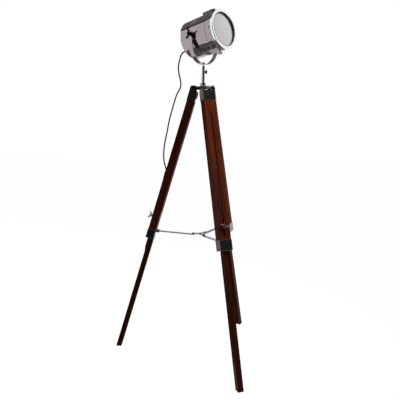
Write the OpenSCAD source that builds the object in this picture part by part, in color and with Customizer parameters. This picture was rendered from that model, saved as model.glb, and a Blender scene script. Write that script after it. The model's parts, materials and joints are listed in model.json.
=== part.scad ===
// Tripod spotlight floor lamp: a drum-shaped metal spotlight in a flat yoke,
// on a hub with three folding, telescoping wooden legs.
// Millimetres, +Z up, floor at z = 0.

/* [Legs] */
// Height of the leg hinges above the floor
hinge_h = 1150; // [1120:5:1180]
// Distance of a leg hinge from the lamp's axis
hinge_r = 42; // [42:0.5:44]
// Lean of a spread leg from upright, in degrees
leg_tilt = 16.4; // [15.5:0.1:17]
// Width of an upper leg board
board_w = 51; // [48:0.5:51]
// Face of the upper board that looks outward, from the hinge line
board_out = 7.5; // [7:0.1:8]
// Face of the upper board that looks inward, from the hinge line
board_in = 25.5; // [25:0.1:25.5]
// Thickness of the web that closes the channel
web_t = 10.5; // [9:0.5:11]
// Width of the channel that the lower leg slides in
channel_w = 24; // [22:0.5:26]
// Distance along the leg to the bottom of the upper board
board_len = 658; // [656:1:660]
// Distance along the leg to the top of the lower leg
lower_top = 538; // [530:1:540]
// Clearance between a sliding lower leg and its channel
slide_gap = 0.3; // [0.2:0.05:0.5]

/* [Leg fittings] */
// Length of the metal cap at the top of a leg
cap_len = 52; // [50:1:54]
// Sheet thickness of the caps
cap_t = 1.2; // [1:0.1:2]
// Sheet thickness of the sleeves
sleeve_t = 1.6; // [1.2:0.1:2]
// Diameter of the hinge bolts
hinge_d = 6; // [5:0.5:6]
// Distance along the leg to the top edge of the sleeve
sleeve_top = 620; // [618:1:622]
// Distance along the leg to the clamp bolt
clamp_s = 566; // [556:1:568]
// Diameter of the clamp bolts
clamp_d = 6; // [5.5:0.5:6]

/* [Brace] */
// Distance along the leg to the brace pin
pin_s = 624; // [624:1:626]
// Distance of the brace pin inward from the hinge line
pin_in = 36; // [36:0.5:37]
// Downward slope of a brace arm towards the centre, in degrees
brace_slope = 3.5; // [3:0.1:4]
// Width of a brace arm
brace_w = 16; // [14:1:16]
// Thickness of the brace arms and the centre plate
brace_t = 3; // [2:0.5:3]
// Distance of an arm's inner end from the lamp's axis
brace_end_r = 26; // [26:1:28]

/* [Stem and yoke] */
// Diameter of the stem tube
stem_d = 13.2; // [12:0.2:14]
// Height of the top of the stem
stem_top = 1239; // [1236:1:1240]
// Height of the tilt axis above the floor
pivot_h = 1353; // [1353:1:1356]
// Inner radius of the yoke's round part
yoke_r = 80; // [80:0.5:81]
// Height of the yoke's straight arms
yoke_arm = 27; // [27:1:28]
// Width of the yoke strap
yoke_w = 20; // [16:1:20]
// Thickness of the yoke strap
yoke_t = 3; // [2.5:0.5:3]

/* [Spotlight] */
// Outer radius of the drum
drum_r = 74.5; // [74:0.1:74.5]
// Length of the drum behind the tilt axis
drum_back = 71; // [69:0.5:71]
// Length of the drum before the tilt axis
drum_front = 72; // [71:0.5:73]
// Rounding of the drum's rear edge
drum_round = 16; // [14:0.5:16]
// Sheet thickness of the drum
drum_t = 1.6; // [1.2:0.1:2]
// Direction that the spotlight faces, in degrees
head_az = -36.5; // [-40:0.5:-33]
// Upward tilt of the spotlight, in degrees
head_tilt = 9.5; // [9:0.5:10]
// Outer radius of the bezel ring
bezel_r = 76.8; // [76:0.1:77]
// Opening radius of the bezel ring
bezel_open = 65.5; // [62:0.5:66]
// Distance from the tilt axis to the front of the bezel
bezel_front = 107; // [105:0.5:107]

/* [Cord] */
// Diameter of the mains cord
cord_d = 6; // [5.6:0.1:6]
// Length of the hank's straight runs
hank_run = 95; // [90:1:100]
// Full loops in the hank, before the last half loop
hank_loops = 2; // [2:1:3]

/* [Hidden] */

// Legs: name, direction from the lamp's axis, and how far its wing nut is turned
LEGS = [["left", 180, 60], ["front", -60, 75], ["right", 60, 40]];
LEFT = LEGS[0][1];

// Colours
WOOD = [0.34, 0.14, 0.09];
DARK = [0.13, 0.12, 0.13];
GUNMETAL = [0.30, 0.27, 0.28];
BRIGHT = [0.80, 0.80, 0.82];
FROST = [0.80, 0.81, 0.83, 0.9];
PALE = [0.92, 0.90, 0.86];
BLACK = [0.05, 0.05, 0.05];

// Smallest working clearances: sheet fits, bolts in holes, turning fits
fit = 0.1;
bolt_gap = 0.05;
turn_gap = 0.06;
body_gap = 0.3;
over = 1;

// Lower leg section
low_out = board_out - web_t - slide_gap;
low_in = board_in - slide_gap;
low_w = channel_w - 2 * slide_gap;
foot_r = hinge_r + hinge_h * tan(leg_tilt) + low_out / cos(leg_tilt);
foot_x = foot_r / 2 + low_w / 2 * sin(60);
// The lamp's axis is moved along X so that the feet are centred on the origin
axis_x = (foot_r - foot_x) / 2;

// Clamp slot
slot_w = clamp_d + 1.2;
slot_top = 106;
slot_end = 604;
channel_top = 90;

// Leg hinge cap
knuckle_r = 9;
cheek_t = 4;
cheek_out = board_w / 2 + cap_t;
sleeve_out = board_w / 2 + sleeve_t;
plate_top = 15;
cap_floor = 4;
socket_top = 38;
wood_top = socket_top + cap_floor;

// Hub
hub_h = 14;
tongue_w = 16;
tongue_r = 7;
collar_h = 14;
stem_low = hinge_h + hub_h / 2 + 1;
spigot_r = 4.02;
spigot_bore = 4.1;
spigot_low = 1170;
thumb_h = 1215;
thumb_az = 1;

// Brace
pin_d = 5;
pin_r = hinge_r - pin_in * cos(leg_tilt) + pin_s * sin(leg_tilt);
pin_h = hinge_h - pin_in * sin(leg_tilt) - pin_s * cos(leg_tilt);
arm_len = (pin_r - brace_end_r) / cos(brace_slope);
arm_end_h = pin_h - arm_len * sin(brace_slope);
plate_low = arm_end_h + brace_t / 2 + 1.1;
rivet_r = brace_end_r + 6;

// Spotlight
yoke_top_r = 10;
tilt_d = 6;
cover_r = drum_r + 0.2;
cover_t = 2.6;
seam = 1.6;
collar_r = drum_r + 1;
collar_end = 96;
glass_r = bezel_open - 0.2;
glass_back = 94;
glass_t = 4;
vent_back = 20;
vent_front = 98;
vent_near = -50;
vent_far = 3;
vent_low = 78;
vent_knob_s = 80;
vent_knob_t = -8;
knob_neck_r = 2.8;
latch_top = 82;
latch_t = -20;
latch_u = 79.1;
latch_pin_r = 1.5;
boot_t = -20;
boot_u = -36;
boot_len = 24;

// ---------------------------------------------------------------- places

module at_axis() translate([axis_x, 0, 0]) children();

// Hinge frame of a leg: x out of its outer face, z up along it
module on_leg(az) at_axis()
    rotate([0, 0, az]) translate([hinge_r, 0, hinge_h]) rotate([0, -leg_tilt, 0]) children();

// Spotlight frame: x out of the lens, y along the tilt axis, z up
module on_head() at_axis()
    translate([0, 0, pivot_h]) rotate([0, 0, head_az]) rotate([0, -head_tilt, 0]) children();

module on_yoke() at_axis() translate([0, 0, pivot_h]) rotate([0, 0, head_az]) children();

// Cylinders along x and y
module rod_x(r, from, to, sides = 48) translate([from, 0, 0]) rotate([0, 90, 0])
    cylinder(r = r, h = to - from, $fn = sides);
module rod_y(r, from, to, sides = 48) translate([0, to, 0]) rotate([90, 0, 0])
    cylinder(r = r, h = to - from, $fn = sides);

// Block between two corners
module block(low, high) translate(low) cube(high - low);

// Body of revolution about x, from an outline of [distance from x, x]
module turned_x(sides = 96) rotate([0, 90, 0]) rotate([0, 0, 90]) rotate_extrude($fn = sides) children();

// ---------------------------------------------------------------- wing nut

// Nut on the z axis, standing on z = 0, with two flared wings
module winged_nut(bore_r, hub_r, hub_h, span, rise, wing_t) difference() {
    union() {
        cylinder(r = hub_r, h = hub_h, $fn = 48);
        for (side = [0, 180])
            rotate([0, 0, side]) wing(hub_r, hub_h, span, rise, wing_t);
    }
    translate([0, 0, -over]) cylinder(r = bore_r, h = hub_h + 2 * over, $fn = 48);
}

module wing(hub_r, hub_h, span, rise, wing_t) {
    tip_r = (span - hub_r) / 3;
    rotate([90, 0, 0]) translate([0, 0, -wing_t / 2]) linear_extrude(wing_t) union() {
        polygon([
            [hub_r * 0.6, hub_h * 0.1],
            [span - tip_r, rise - 2 * tip_r],
            [span - tip_r, rise],
            [hub_r * 0.6, hub_h * 0.9]]);
        translate([span - tip_r, rise - tip_r]) circle(r = tip_r, $fn = 32);
    }
}

// ---------------------------------------------------------------- legs

module leg_cap(az) color(DARK) on_leg(az) {
    difference() {
        union() {
            block([-board_in - cap_t, -cheek_out, -cap_len], [board_out + cap_t, cheek_out, -socket_top]);
            for (side = [-1, 1]) cap_cheek(side);
            cap_front();
        }
        block([-board_in - fit, -board_w / 2 - fit, -cap_len - over],
            [board_out + fit, board_w / 2 + fit, -wood_top + fit]);
        rod_y(hinge_d / 2 + turn_gap, -cheek_out - over, cheek_out + over);
    }
    translate([board_out, -20, -cap_len - 16]) screw_head(2.6, 1.2);
}

module cap_cheek(side) {
    y_low = side > 0 ? cheek_out - cheek_t : -cheek_out;
    translate([0, y_low + cheek_t, 0]) rotate([90, 0, 0]) linear_extrude(cheek_t) union() {
        polygon([
            [-board_in - cap_t, -socket_top],
            [board_out + cap_t, -socket_top],
            [knuckle_r, 0],
            [0, knuckle_r],
            [-12.5, 12.5],
            [-15, -3],
            [-board_in, -12],
            [-board_in - cap_t, -20]]);
        circle(r = knuckle_r, $fn = 64);
    }
}

// Outer plate of the cap, with rounded shoulders
module cap_front() {
    shoulder = 7;
    translate([board_out + cap_t - cheek_t, 0, 0]) rotate([90, 0, 90]) linear_extrude(cheek_t) union() {
        translate([-cheek_out, -socket_top]) square([2 * cheek_out, socket_top - plate_top - shoulder]);
        translate([-cheek_out + shoulder, -plate_top - shoulder])
            square([2 * (cheek_out - shoulder), shoulder]);
        for (side = [-1, 1])
            translate([side * (cheek_out - shoulder), -plate_top - shoulder]) circle(r = shoulder, $fn = 48);
    }
}

// Slotted screw head on a face that looks along x
module screw_head(r, h) difference() {
    rotate([0, 90, 0]) cylinder(r1 = r, r2 = r * 0.7, h = h, $fn = 32);
    block([h * 0.5, -r, -r * 0.14], [h + over, r, r * 0.14]);
}

module upper_leg(az) color(WOOD) on_leg(az) difference() {
    block([-board_in, -board_w / 2, -board_len], [board_out, board_w / 2, -wood_top]);
    block([-board_in - over, -channel_w / 2, -board_len - over],
        [board_out - web_t, channel_w / 2, -channel_top]);
    block([-board_in, -slot_w / 2, -slot_end], [board_out + over, slot_w / 2, -slot_top]);
    for (s = [slot_top, slot_end])
        translate([0, 0, -s]) rod_x(slot_w / 2, -board_in, board_out + over);
}

module leg_sleeve(az) color(DARK) on_leg(az) difference() {
    union() {
        block([-board_in - sleeve_t, -sleeve_out, -board_len - 4],
            [board_out + sleeve_t, sleeve_out, -sleeve_top]);
        for (side = [-1, 1]) brace_ear(side);
    }
    block([-board_in - fit, -board_w / 2 - fit, -board_len - fit],
        [board_out + fit, board_w / 2 + fit, -sleeve_top + over]);
    block([-board_in - fit, -channel_w / 2 - fit, -board_len - 5],
        [board_out - web_t + fit, channel_w / 2 + fit, -board_len + over]);
    translate([-pin_in, 0, -pin_s]) rod_y(pin_d / 2 + bolt_gap, -sleeve_out, sleeve_out);
}

// One of the two ears that carry the brace pin
module brace_ear(side) {
    ear_t = 3;
    ear_r = 5.5;
    y_mid = side * (brace_w / 2 + 0.4 + ear_t / 2);
    translate([-pin_in, y_mid + ear_t / 2, -pin_s]) rotate([90, 0, 0]) linear_extrude(ear_t) union() {
        circle(r = ear_r, $fn = 48);
        translate([0, -ear_r]) square([pin_in - board_in - sleeve_t + 0.5, 2 * ear_r - 2]);
    }
}

module lower_leg(az) color(WOOD) intersection() {
    on_leg(az) difference() {
        block([-low_in, -low_w / 2, -hinge_h / cos(leg_tilt) - 20], [low_out, low_w / 2, -lower_top]);
        translate([0, 0, -clamp_s]) {
            rod_x(clamp_d / 2 + bolt_gap, -low_in - over, low_out + over);
            rod_x(6.2, -low_in - over, -low_in + 2.4);
        }
    }
    block([-foot_r * 2, -foot_r * 2, 0], [foot_r * 2, foot_r * 2, hinge_h]);
}

// Carriage bolt, with the washer under its wing nut
module clamp_bolt(az) color(BRIGHT) on_leg(az) translate([0, 0, -clamp_s]) {
    rod_x(6, -low_in + 0.2, -low_in + 2.3);
    rod_x(clamp_d / 2, -low_in + 2.3, board_out + 16);
    difference() {
        rod_x(8.5, board_out + body_gap, board_out + body_gap + 1.4);
        rod_x(clamp_d / 2 + bolt_gap, board_out, board_out + 3);
    }
}

module wing_nut(az, turn) color(BRIGHT) on_leg(az)
    translate([board_out + 2 * body_gap + 1.4, 0, -clamp_s]) rotate([0, 90, 0]) rotate([0, 0, turn])
        winged_nut(clamp_d / 2 + turn_gap, 6.2, 9, 20, 18, 2.6);

// ---------------------------------------------------------------- brace

module brace_pin(az) color(BRIGHT) on_leg(az) translate([-pin_in, 0, -pin_s]) {
    pin_half = brace_w / 2 + 3.6;
    rod_y(pin_d / 2, -pin_half, pin_half);
    for (side = [-1, 1])
        rod_y(4, side > 0 ? pin_half : -pin_half - 1.6, side > 0 ? pin_half + 1.6 : -pin_half);
}

// Flat arm with an eye round its pin and a hole at its inner end
module brace_arm(az) color(DARK)
    on_leg(az) translate([-pin_in, 0, -pin_s]) rotate([0, leg_tilt - brace_slope, 0]) difference() {
        union() {
            rod_y(4.6, -brace_w / 2, brace_w / 2);
            block([-arm_len + brace_w / 2, -brace_w / 2, -brace_t / 2], [0, brace_w / 2, brace_t / 2]);
            translate([-arm_len + brace_w / 2, 0, -brace_t / 2])
                cylinder(r = brace_w / 2, h = brace_t, $fn = 64);
        }
        rod_y(pin_d / 2 + turn_gap, -brace_w, brace_w);
        translate([-arm_len + rivet_r - brace_end_r, 0, -brace_t])
            cylinder(r = 2.3, h = 2 * brace_t, $fn = 32);
    }

module at_plate() at_axis() translate([0, 0, plate_low]) children();

// Three-pronged plate that rides on the inner ends of the arms
module brace_centre() color(DARK) at_plate() difference() {
    union() {
        cylinder(r = 14, h = brace_t, $fn = 64);
        for (leg = LEGS) rotate([0, 0, leg[1]]) {
            block([0, -brace_w / 2, 0], [rivet_r - 2, brace_w / 2, brace_t]);
            translate([rivet_r - 2, 0, 0]) cylinder(r = brace_w / 2, h = brace_t, $fn = 64);
        }
    }
    translate([0, 0, -over]) cylinder(r = 3 + bolt_gap, h = brace_t + 2 * over, $fn = 48);
    for (leg = LEGS) rotate([0, 0, leg[1]]) translate([rivet_r, 0, -over])
        cylinder(r = 2 + bolt_gap, h = brace_t + 2 * over, $fn = 48);
}

module brace_bolts() color(BRIGHT) at_plate() {
    dome_bolt(3, 5.5, -3);
    translate([0, 0, -3.4]) cylinder(r = 5.2, h = 3.2, $fn = 6);
    for (leg = LEGS) rotate([0, 0, leg[1]]) translate([rivet_r, 0, 0]) dome_bolt(2, 4, 0);
}

// Bolt down through the plate, with a low domed head
module dome_bolt(r, head_r, low) {
    translate([0, 0, low]) cylinder(r = r, h = brace_t + 0.4 - low, $fn = 48);
    translate([0, 0, brace_t + 0.1]) cylinder(r1 = head_r, r2 = head_r * 0.55, h = 2.4, $fn = 48);
}

// ---------------------------------------------------------------- hub and stem

module hub() color(DARK) at_axis() difference() {
    union() {
        translate([0, 0, hinge_h - hub_h / 2]) cylinder(r = 15, h = hub_h, $fn = 96);
        translate([0, 0, hinge_h]) cylinder(r = 12, h = hub_h / 2 + collar_h, $fn = 96);
        for (leg = LEGS) rotate([0, 0, leg[1]]) {
            block([0, -tongue_w / 2, hinge_h - tongue_r], [hinge_r, tongue_w / 2, hinge_h + tongue_r]);
            translate([hinge_r, 0, hinge_h]) rod_y(tongue_r, -tongue_w / 2, tongue_w / 2, 64);
        }
    }
    for (leg = LEGS) rotate([0, 0, leg[1]]) translate([hinge_r, 0, hinge_h])
        rod_y(hinge_d / 2 + bolt_gap, -tongue_w, tongue_w);
    translate([0, 0, stem_low - fit]) cylinder(r = stem_d / 2 + bolt_gap, h = 60, $fn = 96);
    for (az = [165, -75, 45]) rotate([0, 0, az]) translate([0, 0, hinge_h + hub_h])
        rod_x(2 + bolt_gap, 0, 16);
}

// Set screws in the collar
module hub_screws() color(BRIGHT) at_axis()
    for (az = [165, -75, 45]) rotate([0, 0, az]) translate([0, 0, hinge_h + hub_h]) {
        rod_x(2, stem_d / 2 + 0.1, 12.4);
        translate([12.2, 0, 0]) screw_head(3.2, 1.6);
    }

// Hinge bolts, each with a spacer on both sides of the hub's tongue
module hinge_bolts() color(BRIGHT) at_axis()
    for (leg = LEGS) rotate([0, 0, leg[1]]) translate([hinge_r, 0, hinge_h]) {
        reach = cheek_out + body_gap;
        rod_y(hinge_d / 2, -reach - 0.1, reach + 0.1);
        rod_y(4.6, reach, reach + 2.4);
        rod_y(5.2, -reach - 3.6, -reach, 6);
        for (side = [-1, 1]) difference() {
            spacer_in = tongue_w / 2 + fit;
            spacer_out = cheek_out - cheek_t - body_gap;
            rod_y(5, side > 0 ? spacer_in : -spacer_out, side > 0 ? spacer_out : -spacer_in);
            rod_y(hinge_d / 2 + bolt_gap, -reach, reach);
        }
    }

module stem_tube() color(DARK) at_axis() difference() {
    translate([0, 0, stem_low]) cylinder(r = stem_d / 2, h = stem_top - stem_low, $fn = 96);
    translate([0, 0, spigot_low - body_gap]) cylinder(r = spigot_bore, h = stem_top, $fn = 64);
    rotate([0, 0, thumb_az]) translate([0, 0, thumb_h]) rod_x(2.5 + turn_gap, 0, stem_d);
}

// Butterfly screw that clamps the spigot
module stem_thumb_screw() color(DARK) at_axis()
    rotate([0, 0, thumb_az]) translate([0, 0, thumb_h]) {
        rod_x(2.5, spigot_bore + 0.3, 9);
        rod_x(4, stem_d / 2 + body_gap, 10.5);
        translate([9.5, 1.5, 0]) rotate([90, 0, 0]) linear_extrude(3) union() {
            for (side = [-1, 1]) translate([3, side * 3.6]) circle(r = 4, $fn = 48);
            translate([0, -3.6]) square([3, 7.2]);
        }
    }

// ---------------------------------------------------------------- yoke

module yoke() color(DARK) on_yoke() difference() {
    union() {
        intersection() {
            translate([0, 0, -yoke_arm]) difference() {
                rod_x(yoke_r + yoke_t, -yoke_w / 2, yoke_w / 2, 128);
                rod_x(yoke_r, -yoke_w, yoke_w, 128);
            }
            block([-yoke_w, -2 * yoke_r, -2 * yoke_r], [yoke_w, 2 * yoke_r, -yoke_arm]);
        }
        for (side = [0, 180]) rotate([0, 0, side]) {
            block([-yoke_w / 2, yoke_r, -yoke_arm], [yoke_w / 2, yoke_r + yoke_t, 0]);
            rod_y(yoke_top_r, yoke_r, yoke_r + yoke_t, 64);
        }
    }
    rod_y(tilt_d / 2 + turn_gap, -2 * yoke_r, 2 * yoke_r);
    translate([0, 0, -yoke_arm - yoke_r - 2 * yoke_t]) cylinder(r = 3 + bolt_gap, h = 3 * yoke_t, $fn = 48);
}

yoke_low = pivot_h - yoke_arm - yoke_r - yoke_t;

// Pin that turns in the stem, threaded at its top
module yoke_spigot() color(BRIGHT) at_axis() {
    translate([0, 0, spigot_low]) cylinder(r = spigot_r, h = stem_top - 1 - spigot_low, $fn = 64);
    translate([0, 0, stem_top - 2]) cylinder(r = 3, h = yoke_low + yoke_t + 6 - stem_top + 2, $fn = 48);
}

module yoke_nut() color(DARK) at_axis() translate([0, 0, yoke_low + yoke_t + 0.35]) difference() {
    union() {
        cylinder(r = 6.6, h = 4.4, $fn = 6);
        translate([0, 0, 4.3]) cylinder(r1 = 5.4, r2 = 2.6, h = 3.4, $fn = 48);
    }
    translate([0, 0, -over]) cylinder(r = 3 + bolt_gap, h = 7.2, $fn = 48);
}

// Wing nut on the end of a tilt bolt
module tilt_nut(side) color(BLACK) on_head() rotate([0, 0, side > 0 ? 0 : 180])
    translate([0, yoke_r + yoke_t + 2 * body_gap + 1.4, 0]) rotate([-90, 0, 0]) rotate([0, 0, 78])
        winged_nut(tilt_d / 2 + turn_gap, 7.5, 10, 22, 21, 3);

// ---------------------------------------------------------------- spotlight

// Half section of a can: [radius, x], closed and rounded at the back
module can_section(r, back, front, edge) {
    translate([0, back]) square([r - edge, front - back]);
    translate([0, back + edge]) square([r, front - back - edge]);
    translate([r - edge, back + edge]) circle(r = edge, $fn = 96);
}

module drum_shell() color(GUNMETAL) on_head() difference() {
    turned_x(128) difference() {
        intersection() {
            can_section(drum_r, -drum_back, drum_front, drum_round);
            translate([0, -drum_back - over]) square([2 * drum_r, 3 * drum_r]);
        }
        can_section(drum_r - drum_t, -drum_back + drum_t, drum_front + over, drum_round - drum_t);
    }
    rod_y(tilt_d / 2 + bolt_gap, -2 * drum_r, 2 * drum_r);
    translate([0, boot_t, boot_u]) rod_x(4.2, -drum_back - over, -drum_back + 2 * drum_t);
    vent_opening();
}

// Opening in the drum behind the bottom vent box
module vent_opening() block([26, vent_near + 6, -2 * drum_r], [66, vent_far - 7, -drum_r / 2]);

// Ring in front of the drum, stepped down at both ends so that each joint is a groove
module front_collar() color(GUNMETAL) on_head() difference() {
    union() {
        rod_x(drum_r - 0.8, drum_front + fit, collar_end, 128);
        rod_x(collar_r, drum_front + fit + seam, collar_end - seam, 128);
    }
    rod_x(drum_r - 2, drum_front - over, collar_end + over, 128);
}

// Ring with a rounded front, a spigot inside the collar and a seat behind the glass
module bezel_ring() color(BRIGHT) on_head() turned_x(128) union() {
    lip = 3;
    spigot_back = glass_back - 2.5;
    translate([bezel_open, collar_end + fit])
        square([bezel_r - bezel_open, bezel_front - collar_end - fit - lip]);
    translate([bezel_open + lip, bezel_front - lip - fit])
        square([bezel_r - bezel_open - 2 * lip, lip + fit]);
    for (r = [bezel_open + lip, bezel_r - lip])
        translate([r, bezel_front - lip]) circle(r = lip, $fn = 48);
    translate([bezel_open, spigot_back]) square([6.5, collar_end + 2 * fit - spigot_back]);
    translate([bezel_open - 3.5, spigot_back]) square([4, 2]);
}

module diffuser_glass() color(FROST) on_head() rod_x(glass_r, glass_back, glass_back + glass_t, 128);

// Ring that holds the glass from the front
module glass_gasket() color(BLACK) on_head() difference() {
    rod_x(glass_r, glass_back + glass_t + fit, bezel_front - 1, 128);
    rod_x(glass_r - 1.2, glass_back, bezel_front + over, 128);
}

// Curved cover over the top of the drum and the collar, with louvres near both sides
module top_vent_cover() color(GUNMETAL) on_head() difference() {
    rotate([0, 90, 0]) rotate([0, 0, 115]) rotate_extrude(angle = 130, $fn = 128) difference() {
        translate([cover_r, -60]) square([cover_t, 155]);
        translate([cover_r - over, drum_front - 0.5]) square([collar_r + 0.2 - cover_r + over, 30]);
        translate([cover_r + cover_t - 0.8, drum_front]) square([2, seam]);
    }
    for (side = [-1, 1], i = [0:4]) louvre_slot(side * 52, -3 + 6 * i);
}

module louvre_slot(angle, s) rotate([angle, 0, 0])
    block([s - 1.2, -9, drum_r], [s + 1.2, 9, drum_r + 3 * cover_t]);

// Box over the vent in the drum's underside, slotted on its outer wall
module bottom_vent_box() color(GUNMETAL) on_head() difference() {
    block([vent_back, vent_near, -vent_low], [vent_front, vent_far, -40]);
    rod_x(collar_r + fit, 10, 110, 128);
    rod_x(bezel_r + body_gap, collar_end - fit, 110, 128);
    block([vent_back + 2.5, vent_near + 2.5, -vent_low + 2], [vent_front - 5, vent_far - 2.5, -30]);
    for (i = [0:7]) vent_slot(27 + 5 * i);
    for (i = [0:3]) vent_slot(74 + 5 * i);
    translate([vent_knob_s, vent_knob_t, -vent_low - over])
        cylinder(r = knob_neck_r + turn_gap, h = 2 + 2 * over, $fn = 48);
}

module vent_slot(s) block([s, vent_near - over, 3 - vent_low], [s + 3, vent_near + 4, -60]);

// Round knob that holds the vent box shut
module vent_knob() color(BLACK) on_head() translate([vent_knob_s, vent_knob_t, -vent_low]) {
    translate([0, 0, -9]) cylinder(r = knob_neck_r, h = 11.1, $fn = 48);
    translate([0, 0, -14]) cylinder(r = 10, h = 5.1, $fn = 64);
}

// Raised latch plate on the vent cover
module top_latch() color(GUNMETAL) on_head() difference() {
    block([28, -28, 60], [75, 28, latch_top]);
    rod_x(cover_r + cover_t + fit, 0, 100, 128);
    block([31, -25.5, 50], [72.5, 25.5, latch_top - 2]);
    translate([0, latch_t, latch_u]) rod_x(latch_pin_r + turn_gap, 60, 90);
}

module latch_knob() color(BLACK) on_head() translate([0, latch_t, latch_u]) {
    grip_r = 4;
    rod_x(latch_pin_r, 69, 77);
    difference() {
        rod_x(grip_r, 75 + body_gap, 84);
        for (a = [0:36:324]) rotate([a, 0, 0]) translate([0, grip_r + 0.2, 0]) rod_x(0.7, 74, 83, 16);
    }
}

// Spun bowl behind the glass, from its rear hole out to the rim
module reflector() color(BRIGHT) on_head() turned_x(128) union() {
    rear = -20;
    rim = glass_back - 3;
    hole_r = 20;
    rim_r = 64;
    steps = 14;
    bowl = [for (i = [0:steps]) let (x = rear + (rim - rear) * i / steps)
        [hole_r + (rim_r - hole_r) * sqrt((x - rear) / (rim - rear)), x]];
    polygon(concat(bowl, [for (i = [steps:-1:0]) bowl[i] + [1.2, 0]]));
    translate([rim_r, rim - 1.5]) square([7, 1.5]);
}

module lamp_holder() color(PALE) on_head() {
    difference() {
        rod_x(15, -52, -14, 64);
        rod_x(13.4, -40, -13, 64);
    }
    rod_x(9, -62, -51, 48);
    block([-67, -22, -8], [-61.5, 22, 8]);
    for (side = [-1, 1]) translate([0, side * 17, 0]) rod_x(3, -drum_back + drum_t + 0.1, -66, 32);
}

module light_bulb() color([0.95, 0.94, 0.90]) on_head() {
    rod_x(12.9, -39, -12, 64);
    turned_x(96) union() {
        intersection() {
            translate([0, 26]) circle(r = 28, $fn = 96);
            translate([0, -14]) square([40, 80]);
        }
        translate([0, -12.5]) polygon([[0, 0], [12.9, 0], [14, 8], [20, 20], [0, 20]]);
    }
}

// Tilt bolts with the spacers between drum and yoke
module tilt_bolts() color(DARK) on_head() for (side = [0, 180]) rotate([0, 0, side]) {
    rod_y(5, drum_r - drum_t - 4, drum_r - drum_t - 0.4);
    rod_y(tilt_d / 2, drum_r - drum_t - 0.5, 101);
    difference() {
        rod_y(8, drum_r + fit, yoke_r - body_gap);
        rod_y(tilt_d / 2 + bolt_gap, drum_r - 1, yoke_r);
    }
    difference() {
        rod_y(8, yoke_r + yoke_t + body_gap, yoke_r + yoke_t + body_gap + 1.4);
        rod_y(tilt_d / 2 + bolt_gap, yoke_r, 2 * yoke_r);
    }
}

// Small screws: two on the collar, two on the drum's sides
module head_screws() color(BRIGHT) on_head() {
    for (a = [-90, 90]) rotate([a, 0, 0]) translate([90, 0, drum_r + 0.9]) side_screw(3);
    for (a = [-75, 75]) rotate([a, 0, 0]) translate([-12, 0, cover_r - 0.1]) side_screw(2.2);
}

module side_screw(r) rotate([0, -90, 0]) screw_head(r, 1.5);

// Tapered strain relief on the rear face
module cord_boot() color(BLACK) on_head() translate([-drum_back, boot_t, boot_u]) rotate([0, -90, 0]) {
    translate([0, 0, 0.1]) cylinder(r = 8, h = 2.6, $fn = 48);
    translate([0, 0, 2.6]) cylinder(r1 = 6, r2 = 4.2, h = boot_len - 2.6, $fn = 48);
    translate([0, 0, -5]) cylinder(r = 4.1, h = 5.2, $fn = 48);
}

// ---------------------------------------------------------------- cord

// Free stretch, from just clear of the boot's end: x and y from the lamp's axis, z from the floor
TOP_ROUTE = [[-84.9, 37.9, 1301.3], [-92.5, 43.3, 1297], [-100, 48.5, 1287], [-104, 51, 1273.5]];

// Hanging stretch down to the left leg
HANG_ROUTE = [
    [-104.3, 51.2, 1272.3], [-110, 52.5, 1245], [-107, 50, 1215], [-99, 46.5, 1182], [-100, 44.5, 1155],
    [-114, 41, 1128], [-126, 38.5, 1090], [-137, 36, 1050], [-147, 33.5, 1008], [-154, 31, 968],
    [-162, 29, 928], [-167, 27, 885], [-165.5, 25.5, 845], [-156.2, 24.1, 809], [-160.15, 24, 794.7]];

// Stretch that lies on the left leg: x, y, z in the leg's hinge frame
LEG_ROUTE = [
    [13, -24, -375], [11.2, -24, -410], [10.8, -24, -460], [10.8, -24, -510], [10.8, -24.5, -555],
    [11.3, -27, -585], [9, -31, -612], [5, -32.5, -645], [3, -32, -680], [3, -35, -712],
    [1.5, -46, -738], [-0.5, -62, -741], [-3, -75, -722], [-6.5, -74, -690], [-11, -62, -660],
    [-14.5, -46, -632], [-15.7, -34, -604], [-15.7, -29.4, -578], [-15.7, -29.2, -557.5]];

cord_sides = 10;
hang_sides = 8;
hank_sides = 6;
route_steps = 3;

function unit(v) = v / norm(v);
function at(list, i) = list[max(0, min(len(list) - 1, i))];

// Smooth curve through the route's points, with a few rings between each pair
function smooth(p, steps) = concat(
    [for (i = [0:len(p) - 2], k = [0:steps - 1]) let (t = k / steps,
        a = at(p, i - 1), b = p[i], c = p[i + 1], d = at(p, i + 2))
        0.5 * (2 * b + (c - a) * t + (2 * a - 5 * b + 4 * c - d) * t * t
            + (3 * b - a - 3 * c + d) * t * t * t)],
    [p[len(p) - 1]]);

function path_length(p) = let (steps = [for (i = [1:len(p) - 1]) norm(p[i] - p[i - 1])])
    steps * [for (s = steps) 1];

// Closed tube of triangles along a path; side is any direction never along it
module tube(path, d, sides, side, first, last) {
    n = len(path);
    rings = [for (i = [0:n - 1]) let (
        ahead = i == 0 ? first : i == n - 1 ? last : unit(path[i + 1] - path[i - 1]),
        across = unit(cross(ahead, side)), up = cross(ahead, across))
        for (k = [0:sides - 1]) path[i]
            + d / 2 * (cos(360 * k / sides) * across + sin(360 * k / sides) * up)];
    walls = [for (i = [0:n - 2], k = [0:sides - 1]) let (
        a = i * sides + k, b = i * sides + (k + 1) % sides, c = a + sides, e = b + sides)
        each [[a, e, b], [a, c, e]]];
    start = [for (k = [1:sides - 2]) [0, k, k + 1]];
    stop = [for (k = [1:sides - 2]) [0, k + 1, k] + [1, 1, 1] * (n - 1) * sides];
    polyhedron(concat(rings), concat(walls, start, stop));
}

boot_dir = [-cos(head_tilt) * cos(head_az), -cos(head_tilt) * sin(head_az), -sin(head_tilt)];

module cord_top() color(BLACK) at_axis() {
    path = smooth(TOP_ROUTE, route_steps);
    tube(path, cord_d, cord_sides, [0.6, 0.8, 0], boot_dir, unit(TOP_ROUTE[3] - TOP_ROUTE[2]));
}

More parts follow.
